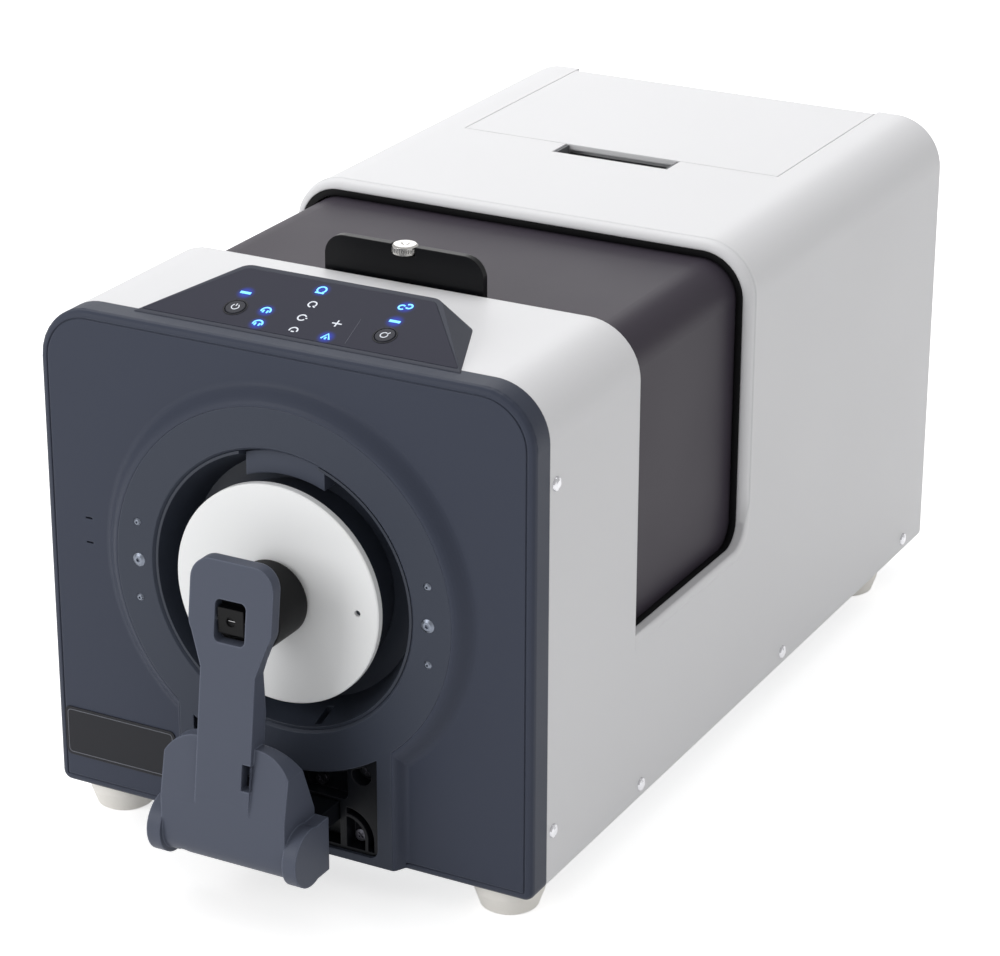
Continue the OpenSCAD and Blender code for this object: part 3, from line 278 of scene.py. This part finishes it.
# Along the mouth the profile is a low rib and a quarter roll, and along the saddle a bead
# over the square edge. They pass into each other above the saddle's corner. TAIL is the
# profile's reach from the opening, and BACK how deep its hidden side lies in the wall.
TAIL, BACK, BACK_END, BLEND = 11.0, 4.6, 9.6, 8.0
sweep, roll = np.linspace(0, math.pi, 13), np.radians(np.linspace(0, 90, 11))
mouth_across = np.concatenate([
    [TAIL, TAIL, 7.7], 6.3 + 1.3 * np.cos(sweep), 4.1 - 4.4 * np.sin(roll), [-0.3, BACK_END]])
mouth_below = np.concatenate([
    [BACK, 0.05, -0.04], -0.04 - 0.5 * np.sin(sweep), 4.2 - 4.24 * np.cos(roll), [BACK, BACK]])
saddle_across = np.concatenate([
    [TAIL, TAIL, 5.5], 2.6 + 2.8 * np.cos(sweep), np.full(11, -0.25), [-0.3, BACK_END]])
saddle_below = np.concatenate([
    [BACK, 0.05, -0.04], -0.04 - 1.1 * np.sin(sweep), np.linspace(0.0, 4.2, 11), [BACK, BACK]])
share = np.clip((opening_path()[0][:, 2:] - SADDLE_LOW - SADDLE_ROUND) / BLEND, 0.0, 1.0)
rolled_edge = along_opening(share * mouth_across + (1 - share) * saddle_across,
                            share * mouth_below + (1 - share) * saddle_below)
solid("rolled_edge", "instrument", white_paint, [(rolled_edge, False)], 1.0)

# Painted shade: a black band inside the opening's edge stands for the shadowed gap there.
gap_shade_black = coating("gap_shade_black", linear(14, 14, 16), 0.1, 0.6, 1500.0, 0.00003)
gap_shade = along_opening([0.0, -0.1, -0.1, 0.0, 2.0, 2.0], [4.3, 4.5, 8.2, 8.4, 8.4, 4.3])
solid("opening_gap_shade", "instrument", gap_shade_black, [(gap_shade, False)])

# Base and feet
# The base is folded sheet steel with a zinc coat, screwed to the cover from the
# sides. Four pale rubber feet are held by countersunk screws.
EVEN = (1.0, 1.0, 1.0)


def sheet_metal(name, tone, roughness, stretch, scale=500.0, depth=0.00001):
    """Plated, ground or brushed metal: a noise drawn out along one axis gives the lines of the
    tool, in the tone, the roughness and a shallow bump."""
    finish = Finish(name)
    lines, wide = finish.noise(scale, 4.0, stretch), finish.noise(22.0)
    dark, light = (tuple(c * part for c in tone) for part in (0.82, 1.06))
    colour = finish.mix(lines * 0.6 + wide * 0.4, dark, light)
    gloss = (lines - 0.5) * 0.16 + (wide - 0.5) * 0.1 + roughness
    normal = finish.lift(lines, depth, finish.rounded(0.0003))
    return finish.close(colour, gloss, normal, Metallic=1.0)


zinc_plate = sheet_metal("zinc_plate", linear(176, 178, 180), 0.42, (1.0, 0.06, 1.0))
dress(zinc_plate, "base_plate", "chassis_sides")
foot_rubber = coating("foot_rubber", linear(248, 245, 239), 0.02, 0.6, 1200.0, 0.00004)
dress(foot_rubber, "feet")
bright_screw = sheet_metal("bright_screw", linear(222, 222, 226), 0.24, EVEN, 900.0)
dress(bright_screw, "foot_screws", "side_screws")

# Grey front moulding
# A thick moulding in dark blue-grey paint with a fine grain. Its face has a flared
# skirt round the measuring port, a groove near its edge and two sensor slots.
front_grey = coating("front_grey", linear(58, 63, 77), 0.035, 0.46, 1700.0, 0.00005,
                     edge=0.001, edge_highlight=0.3)
dress(front_grey, "front_fascia")

# Bare name plate
# A thin dark plate glued in a shallow bed at the lower left of the face, with a
# fine pale line inlaid round its edge.
PLATE_MARGIN, PLATE_CORNER, LINE_WIDTH, LINE_HEIGHT, LINE_DEPTH = 3.2, 2.0, 0.45, 0.07, 0.05
plate_black = coating("plate_black", linear(36, 37, 42), 0.05, 0.32, 1400.0, 0.00001, edge=0.0003)
dress(plate_black, "name_plate")


def stroke(path, width, low, high, endless=False):
    """A ribbon of a given width along a flat path (u, v), from height low to high: each ring is
    path + side * width / 2, where side is the path's direction turned by a right angle."""
    path = np.asarray(path, float)
    ahead = np.roll(path, -1, 0) - np.roll(path, 1, 0) if endless else np.gradient(path, axis=0)
    ahead = ahead / np.linalg.norm(ahead, axis=1, keepdims=True)
    side = np.stack([-ahead[:, 1], ahead[:, 0]], -1) * width / 2
    left, right = path + side, path - side
    flat = np.stack([left, right, right, left], 1)
    height = np.broadcast_to([[low], [low], [high], [high]], (len(path), 4, 1))
    return np.concatenate([flat, height], -1)


def round_path(width, height, radius, steps=6):
    """Closed rectangle round the origin, with quarter circles at its corners: the middle of each
    corner's circle, plus radius * (cos, sin) of its quarter."""
    turn = np.radians(np.linspace(0, 90, steps) + np.array([[0], [90], [180], [270]]))
    side = np.array([(1, 1), (-1, 1), (-1, -1), (1, -1)])[:, None]
    middle = side * (width / 2 - radius, height / 2 - radius)
    return (middle + radius * np.stack([np.cos(turn), np.sin(turn)], -1)).reshape(-1, 2)


plate_low, plate_high = (np.array(corner) * 1000 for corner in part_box("name_plate"))
plate_middle, plate_size = (plate_low + plate_high) / 2, plate_high - plate_low
border = round_path(plate_size[0] - PLATE_MARGIN, plate_size[2] - PLATE_MARGIN, PLATE_CORNER)
border = stroke(border, LINE_WIDTH, -LINE_DEPTH, LINE_HEIGHT, True)
border = spot(plate_middle[0] + border[..., 0], plate_low[1] + FASCIA_AHEAD - border[..., 2],
              plate_middle[2] + border[..., 1])
pale_line = coating("pale_line", linear(120, 122, 130), 0.05, 0.4, 1400.0, 0.00001)
solid("plate_line", "instrument", pale_line, [(border, True)])

# Measuring port
# The flat ring and its tongue are one moulding, painted as the face and held by six
# screws. The well behind it is turned, blackened and matt, and the mask's seat too.
PORT_X, PORT_Z = 3.0, 153.0
ring_grey = coating("ring_grey", linear(61, 66, 78), 0.03, 0.44, 1700.0, 0.00004,
                    edge=0.0009, edge_highlight=0.45)
dress(ring_grey, "port_plate")
bright_port_screw = sheet_metal("bright_port_screw", linear(128, 134, 146), 0.36, EVEN, 900.0)
dress(bright_port_screw, "ring_screws")
well_black = coating("well_black", linear(50, 55, 66), 0.05, 0.42, 1300.0, 0.00003,
                     edge=0.0005, edge_highlight=0.4, Specular_IOR_Level=0.3)
dress(well_black, "mask_well", "mask_seat")
latch_grey = coating("latch_grey", linear(72, 77, 90), 0.04, 0.5, 1700.0, 0.00004,
                     edge=0.0008, edge_highlight=0.5)
dress(latch_grey, "mask_latch")

# Target mask
# A round white disc with a bevelled edge and two small tool holes. Its coat is
# matt and very even, with faint turning marks round the aperture.
RINGS = 9000.0  # radians of the turning marks in a metre
finish = Finish("mask_white")
centre = tuple(float(v) for v in spot(PORT_X, 0.0, PORT_Z))
from_centre = finish.vector("SUBTRACT", finish.here(), centre)
flat = finish.vector("MULTIPLY", from_centre, (1.0, 0.0, 1.0))
reach = finish.vector("LENGTH", flat, out="Value")
turned = finish.node("ShaderNodeMath", {"operation": "SINE"}, {0: reach * RINGS}) * 0.5 + 0.5
haze = finish.noise(20.0)
mask_white = finish.close(
    finish.mix(haze * 0.7 + turned * 0.3, linear(246, 247, 248), linear(251, 252, 252)),
    (haze - 0.5) * 0.1 + 0.38, finish.lift(turned, 0.000006, finish.rounded(0.0005)))
dress(mask_white, "target_mask")

# Bay behind the hinge
# A black moulding with pockets and six black screws closes the opening under the
# ring, and a cast bracket in it carries the arm's hinge on a ground steel pin.
bay_black = coating("bay_black", linear(15, 17, 22), 0.05, 0.4, 1700.0, 0.00004,
                    edge=0.0007, edge_highlight=0.5)
dress(bay_black, "bay_tray", "hinge_bracket")
black_screw = sheet_metal("black_screw", linear(104, 104, 112), 0.32, EVEN, 900.0)
dress(black_screw, "bay_screws")
ground_steel = sheet_metal("ground_steel", linear(196, 196, 198), 0.22, (1.0, 1.0, 0.05), 700.0)
dress(ground_steel, "hinge_pin", "pad_pivot_pin", "lid_hinge_pin")

# Specimen holder
# The arm is a cast aluminium fork in blue-grey paint with a fine grain, with a painted
# highlight along its edges. Its pad is black rubber in a tilting holder.
arm_paint = coating("arm_paint", linear(82, 87, 101), 0.035, 0.44, 1600.0, 0.00006,
                    edge=0.0014, edge_highlight=0.6)
dress(arm_paint, "holder_arm")
pad_rubber = coating("pad_rubber", linear(6, 6, 8), 0.08, 0.5, 1400.0, 0.00003,
                     edge=0.0008, edge_highlight=0.05)
dress(pad_rubber, "specimen_pad")

# Console
# A painted moulding with a tilted face. A dark film with a slight gloss covers the
# face inside a narrow border, and the backlit symbols glow through it.
CONSOLE_MIDDLE, CONSOLE_FRONT, PANEL_FACE = 2.0, 11.0, 0.2
TILT = math.radians(18.5)
console_grey = coating("console_grey", linear(60, 63, 74), 0.03, 0.5, 1700.0, 0.00004,
                       edge=0.001, edge_highlight=0.18)
dress(console_grey, "control_console")


def on_face(local):
    """Points (u, v, height) in millimetres on the console's tilted face, in the frame's metres:
    v runs up the slope, and height stands square on it."""
    u, v, height = local[..., 0], local[..., 1], local[..., 2] + PANEL_FACE
    return spot(CONSOLE_MIDDLE + u,
                CONSOLE_FRONT + v * math.cos(TILT) - height * math.sin(TILT),
                CASE_TOP + v * math.sin(TILT) + height * math.cos(TILT))


def arc(u, v, radius, start, end, steps=14):
    """Part of a circle, from one angle to another in degrees."""
    turn = np.radians(np.linspace(start, end, steps))
    return np.stack([u + radius * np.cos(turn), v + radius * np.sin(turn)], -1)


def drawn(paths, width, height=0.12, low=-0.05):
    """Strokes on the console's face, a little proud of the film."""
    return [(on_face(stroke(path, width, low, height)), False) for path in paths]


def standing(u, v, half, low, high):
    """Two short upright lines, at equal distance from the middle (u, v)."""
    return [[(u + side * half, v + low), (u + side * half, v + high)] for side in (-1, 1)]


blue_paths = [
    arc(-24.9, 17.6, 2.4, -20, 200), *standing(-24.9, 17.6, 1.1, -1.6, 0.4),
    arc(-23.7, 7.6, 2.4, -20, 200), *standing(-23.7, 7.6, 1.1, -1.6, 0.4),
    arc(-6.5, 39.8, 2.3, -60, 240), [(-8.9, 37.3), (-4.1, 37.3)],
    [(11.9, 5.7), (14.1, 9.7), (16.3, 5.7)], [(14.1, 5.4), (14.1, 7.2)],
    arc(38.2, 37.9, 1.6, 40, 320), arc(41.5, 39.3, 1.6, 220, 500),
]
blue_bars = [[(-45.0, 27.7), (-39.2, 27.7)], [(37.4, 27.0), (43.2, 27.0)]]
blue_middles = [(-24.9, 17.6), (-23.7, 7.6), (-6.5, 39.4), (14.1, 7.2), (39.9, 38.6),
                (-42.1, 27.7), (40.3, 27.0)]
white_paths = [
    arc(-5.2, 28.2, 2.1, -30, 270), [(-4.3, 27.1), (-3.0, 26.1)],
    arc(-4.9, 17.5, 2.1, 30, 330), [(-3.0, 17.5), (-2.0, 17.5)],
    arc(-4.0, 7.6, 2.1, -20, 200), [(-4.8, 6.6), (-3.2, 6.6)],
    [(11.4, 17.9), (16.6, 17.9)], [(13.9, 15.5), (13.9, 20.3)],
]


def lamp(name, tone, glow, strength):
    """Backlit inlay: a translucent ink over a lamp, a little uneven, that gives its own light."""
    finish = Finish(name)
    uneven = finish.noise(700.0)
    light = finish.mix(uneven, glow, tuple(min(1.0, c * 1.25) for c in glow))
    return finish.close(finish.mix(uneven, tone, glow), (uneven - 0.5) * 0.1 + 0.4,
                        finish.rounded(0.0001), Emission_Color=light, Emission_Strength=strength)


blue_lamp = lamp("blue_lamp", linear(90, 165, 240), linear(105, 190, 255), 1.0)
white_lamp = lamp("white_lamp", linear(180, 184, 192), linear(190, 194, 202), 0.55)
blue_symbols = solid("blue_symbols", "instrument", blue_lamp,
                     drawn(blue_paths, 0.9) + drawn(blue_bars, 1.7))
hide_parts("status_lights")
solid("white_symbols", "instrument", white_lamp, drawn(white_paths, 0.75))

# The light of each blue symbol spreads in the film, out to 5.8 mm.
HALO_REACH, HALO_CORE = 0.0058, 0.0008
finish = Finish("panel_film")
fine, wide = finish.noise(1200.0), finish.noise(9.0, 1.0)
halo = 0.0
for u, v in blue_middles:
    lamp_place = tuple(float(c) for c in on_face(np.array([u, v, 0.0])))
    away = finish.vector("DISTANCE", finish.here(), lamp_place, out="Value")
    halo = finish.ramp(away, HALO_REACH, HALO_CORE, interpolation_type="SMOOTHERSTEP") + halo
panel_film = finish.close(
    finish.mix(wide * 0.7 + fine * 0.3, linear(42, 43, 57), linear(48, 49, 63)),
    (fine - 0.5) * 0.06 + 0.34, finish.lift(fine, 0.000004, finish.rounded(0.0003)),
    Emission_Color=finish.mix(halo, (0.0, 0.0, 0.0), linear(10, 50, 190)),
    Emission_Strength=0.8, Specular_IOR_Level=0.08)
dress(panel_film, "console_panel")
divider = coating("divider", linear(104, 106, 118), 0.05, 0.4, 1400.0, 0.00001)
solid("panel_line", "instrument", divider,
      drawn([[(23.6, 24.0), (25.4, 5.3)]], 0.25, 0.05))

# Power and measure keys
# Two round sprung keys in dark plastic stand in wells of the face. Each has a fine ring
# symbol inlaid in it, and a thin dark ring round it is painted shade, the shading round the key.
KEY_ACROSS, KEY_UP, SHADE_RING_RADIUS, SHADE_RING_WIDTH = 41.0, 16.0, 5.75, 0.8
key_plastic = coating("key_plastic", linear(42, 43, 52), 0.05, 0.4, 1500.0, 0.00002,
                      edge=0.0006, edge_highlight=0.1)
dress(key_plastic, "power_button", "measure_button")
# Painted shade: a thin dark ring on the face round each key.
key_shade_black = coating("key_shade_black", linear(28, 29, 36), 0.05, 0.4, 1500.0, 0.00002)
circles = [arc(side * KEY_ACROSS, KEY_UP, SHADE_RING_RADIUS, 0, 352.5, 48) for side in (-1, 1)]
solid("key_shade_rings", "instrument", key_shade_black,
      [(on_face(stroke(circle, SHADE_RING_WIDTH, -0.1, 0.15, True)), True) for circle in circles])
key_marks = {
    "power_button": [
        arc(-KEY_ACROSS, KEY_UP, 1.9, 125, 415, 24),
        [(-KEY_ACROSS, KEY_UP + 0.6), (-KEY_ACROSS, KEY_UP + 2.4)]],
    "measure_button": [
        arc(KEY_ACROSS - 0.3, KEY_UP - 0.3, 1.8, 60, 390, 24),
        [(KEY_ACROSS + 0.9, KEY_UP + 1.0), (KEY_ACROSS + 2.0, KEY_UP + 2.1)]],
}
for key, paths in key_marks.items():
    solid(key + "_mark", key, white_lamp, drawn(paths, 0.5, 0.5, 0.35))

# Transmission chamber
# Walls, floor and the sliding cover are sheet metal in matt charcoal paint. The port
# in the front wall is blackened, and the receiving lens has a coated glass.
charcoal = coating("charcoal", linear(62, 57, 66), 0.03, 0.4, 1500.0, 0.00004,
                   edge=0.0008, edge_highlight=0.08, Specular_IOR_Level=0.1)
dress(charcoal, "chamber_cover")
chamber_black = coating("chamber_black", linear(38, 38, 42), 0.05, 0.6, 1500.0, 0.00004)
dress(chamber_black, "chamber_front_wall", "chamber_rear_wall", "chamber_floor",
      "transmission_port")
finish = Finish("lens_glass")
bloom = finish.noise(30.0)
lens_glass = finish.close(
    finish.mix(bloom, linear(22, 26, 40), linear(34, 30, 56)),
    (bloom - 0.5) * 0.04 + 0.06, finish.rounded(0.0004), Coat_Weight=0.6)
dress(lens_glass, "receiving_lens")

# Specimen plate and its thumb screw
# A black anodised plate with a slight gloss stands behind the front block. A
# knurled nickel screw on its top edge clamps the transmission specimen.
anodised = coating("anodised", linear(12, 13, 16), 0.08, 0.3, 1600.0, 0.00001,
                   edge=0.0007, edge_highlight=0.3)
dress(anodised, "specimen_plate")
nickel = sheet_metal("nickel", linear(214, 212, 208), 0.2, (1.0, 1.0, 0.15), 1400.0, 0.00003)
dress(nickel, "plate_screw")

# Storage tray and finger recess
# The tray under the lid and the finger recess in front of it are grey mouldings
# with a leathery grain.
tray_grey = coating("tray_grey", linear(120, 121, 124), 0.04, 0.55, 1100.0, 0.00006)
dress(tray_grey, "storage_tray")
cup_grey = coating("cup_grey", linear(104, 105, 108), 0.04, 0.5, 1300.0, 0.00004)
dress(cup_grey, "finger_cup")

# Rear panel and sockets
# Sheet steel in pale grey paint with louvres. The mains inlet, the data socket and
# the rocker switch are bought parts pressed into its cut-outs.
INLET_X, INLET_Z, CONTACT_START, CONTACT_END = -78.0, 60.0, 483.0, 494.0
TONGUE_HEIGHT, TONGUE_START, TONGUE_END = 2.6, 13.0, 3.0
panel_paint = coating("panel_paint", linear(206, 207, 209), 0.015, 0.5, 1000.0, 0.00003)
dress(panel_paint, "rear_panel")
socket_black = coating("socket_black", linear(30, 30, 33), 0.05, 0.45, 1500.0, 0.00003, edge_highlight=0.06)
dress(socket_black, "power_inlet", "switch_frame")
switch_black = coating("switch_black", linear(20, 20, 22), 0.05, 0.28, 1500.0, 0.00001, edge_highlight=0.06)
dress(switch_black, "power_switch")
socket_steel = sheet_metal("socket_steel", linear(190, 190, 192), 0.3, (1.0, 0.1, 1.0), 700.0)
dress(socket_steel, "data_socket")


def blade(x, z, width, height, start, end):
    """A contact along y: four rings of a rounded rectangle, of which the last two draw in to the
    tip by 0.4 mm."""
    rings = []
    for less, y in ((0.0, start), (0.0, end - 0.8), (0.15, end - 0.3), (0.4, end)):
        ring = round_path(width - 2 * less, height - 2 * less, 0.4, 4)
        rings.append(spot(x + ring[:, 0], y, z + ring[:, 1]))
    return np.stack(rings), False


contact_steel = sheet_metal("contact_steel", linear(205, 202, 196), 0.25, (1.0, 0.1, 1.0), 700.0)
solid("inlet_contacts", "instrument", contact_steel,
      [blade(INLET_X + x, INLET_Z + z, 2.0, 6.2, CONTACT_START, CONTACT_END)
       for x, z in ((-7.0, -1.6), (0.0, 2.6), (7.0, -1.6))])
socket_low, socket_high = (np.array(corner) * 1000 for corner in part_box("data_socket"))
tongue_x, _, tongue_z = (socket_low + socket_high) / 2
socket_mouth = socket_high[1] + FASCIA_AHEAD
tongue_plastic = coating("tongue_plastic", linear(38, 38, 42), 0.04, 0.5, 1500.0, 0.00002)
solid("socket_tongue", "instrument", tongue_plastic,
      [blade(tongue_x, tongue_z, (socket_high[0] - socket_low[0]) * 0.5, TONGUE_HEIGHT,
             socket_mouth - TONGUE_START, socket_mouth - TONGUE_END)])

# Inside the case
# The sphere's two halves are turned aluminium, white within. The lamp housing and
# the supply are plated boxes, the polychromator is black, the board green.
sphere_metal = sheet_metal("sphere_metal", linear(186, 188, 190), 0.4, (1.0, 0.08, 1.0), 600.0)
dress(sphere_metal, "sphere_front_half", "sphere_rear_half")
dress(zinc_plate, "power_supply", "lamp_housing")
box_black = coating("box_black", linear(30, 31, 34), 0.05, 0.5, 1400.0, 0.00003)
dress(box_black, "polychromator_box")
finish = Finish("board_green")
cells = finish.node("ShaderNodeTexVoronoi", {"feature": "DISTANCE_TO_EDGE"},
                    {"Vector": finish.here(), "Scale": 260.0})
track = finish.ramp(cells, 0.12, 0.05)
board_green = finish.close(
    finish.mix(track, linear(18, 70, 44), linear(60, 120, 78)), track * 0.1 + 0.35,
    finish.lift(track, 0.00004, finish.rounded(0.0002)))
dress(board_green, "main_board")

# Studio
# A plain white floor and background, a soft overcast world and three large lamps:
# one high on the left, one low in front and one behind for the sheen of the tops.
WHITE, FLOOR_HALF = (1.0, 1.0, 1.0, 1.0), 6
studio_scene = bpy.context.scene
studio_scene.view_settings.view_transform = "Standard"


def ray(finish, *kinds):
    """1 on a ray of any of the named kinds and 0 on the others: their sum, at most 1."""
    found = sum(finish.node("ShaderNodeLightPath", {}, {}, out=kind) for kind in kinds)
    return finish.node("ShaderNodeMath", {"operation": "MINIMUM"}, {0: found, 1: 1.0})


corners = ((-1, -1), (1, -1), (1, 1), (-1, 1))
floor_mesh = bpy.data.meshes.new("floor")
floor_mesh.from_pydata([(x * FLOOR_HALF, y * FLOOR_HALF, 0) for x, y in corners],
                       [], [(0, 1, 2, 3)])
floor = bpy.data.objects.new("floor", floor_mesh)
studio_scene.collection.objects.link(floor)
finish = Finish("floor_white")
seen = ray(finish, "Is Camera Ray", "Is Glossy Ray", "Is Transmission Ray")
matt = finish.node("ShaderNodeBsdfDiffuse", {}, {"Color": (0.8, 0.8, 0.8, 1.0)})
glow = finish.node("ShaderNodeEmission", {}, {"Color": WHITE, "Strength": 0.62})
lit = finish.node("ShaderNodeAddShader", {}, {0: matt, 1: glow})
picked = finish.node("ShaderNodeMixShader", {}, {0: seen, 1: matt, 2: lit})
finish.node("ShaderNodeOutputMaterial", {}, {"Surface": picked})
floor_mesh.materials.append(finish.made)

sky = Finish("studio", bpy.data.worlds)
overcast, backdrop = (
    sky.node("ShaderNodeBackground", {}, {"Color": WHITE, "Strength": strength})
    for strength in (0.6, 1.0))
picked = sky.node("ShaderNodeMixShader", {}, {
    0: ray(sky, "Is Camera Ray", "Is Transmission Ray"), 1: overcast, 2: backdrop})
sky.node("ShaderNodeOutputWorld", {}, {"Surface": picked})
studio_scene.world = sky.made

for name, place, target, size, power in (
    ("top_light", (-0.6, 0.5, 1.9), (0, 0, 0.1), (1.6, 1.6), 16),
    ("front_light", (-1.1, -1.9, 1.0), (0, 0, 0.15), (1.2, 1.2), 16.5),
    ("rear_light", (-1.2, 2.4, 1.1), (0, 0, 0.25), (1.8, 1.0), 7),
):
    data = bpy.data.lights.new(name, "AREA")
    data.shape = "RECTANGLE"
    data.size, data.size_y = size
    data.energy = power
    item = bpy.data.objects.new(name, data)
    studio_scene.collection.objects.link(item)
    item.location = place
    item.rotation_euler = (Vector(target) - Vector(place)).to_track_quat("-Z", "Y").to_euler()

# Camera
# Its angles, distance and lens come from a fit of the case's edges in the
# photograph, about a point near the middle of the case. The lens isn't shifted.
SENSOR, PICTURE_WIDTH, AIM = 36.0, 1000, Vector((0, 0.033, 0.130))
azimuth, elevation, roll = (math.radians(a) for a in (28.0982, 22.4056, 0.177))
distance, right_shift, up_shift, focal_px = 1.80253, -0.013975, -0.010954, 3326.09
level = math.cos(elevation)
back = Vector((math.sin(azimuth) * level, -math.cos(azimuth) * level, math.sin(elevation)))
right = Vector((math.cos(azimuth), math.sin(azimuth), 0))
up = back.cross(right)
right, up = (math.cos(roll) * right + math.sin(roll) * up,
             math.cos(roll) * up - math.sin(roll) * right)
eye = AIM + back * distance + right * right_shift + up * up_shift
data = bpy.data.cameras.new("camera")
data.sensor_fit = "HORIZONTAL"
data.sensor_width = SENSOR
data.lens = focal_px * SENSOR / PICTURE_WIDTH
data.clip_end = 50
camera = bpy.data.objects.new("camera", data)
studio_scene.collection.objects.link(camera)
camera.matrix_world = Matrix([*zip(right, up, back, eye), (0, 0, 0, 1)])
studio_scene.camera = camera
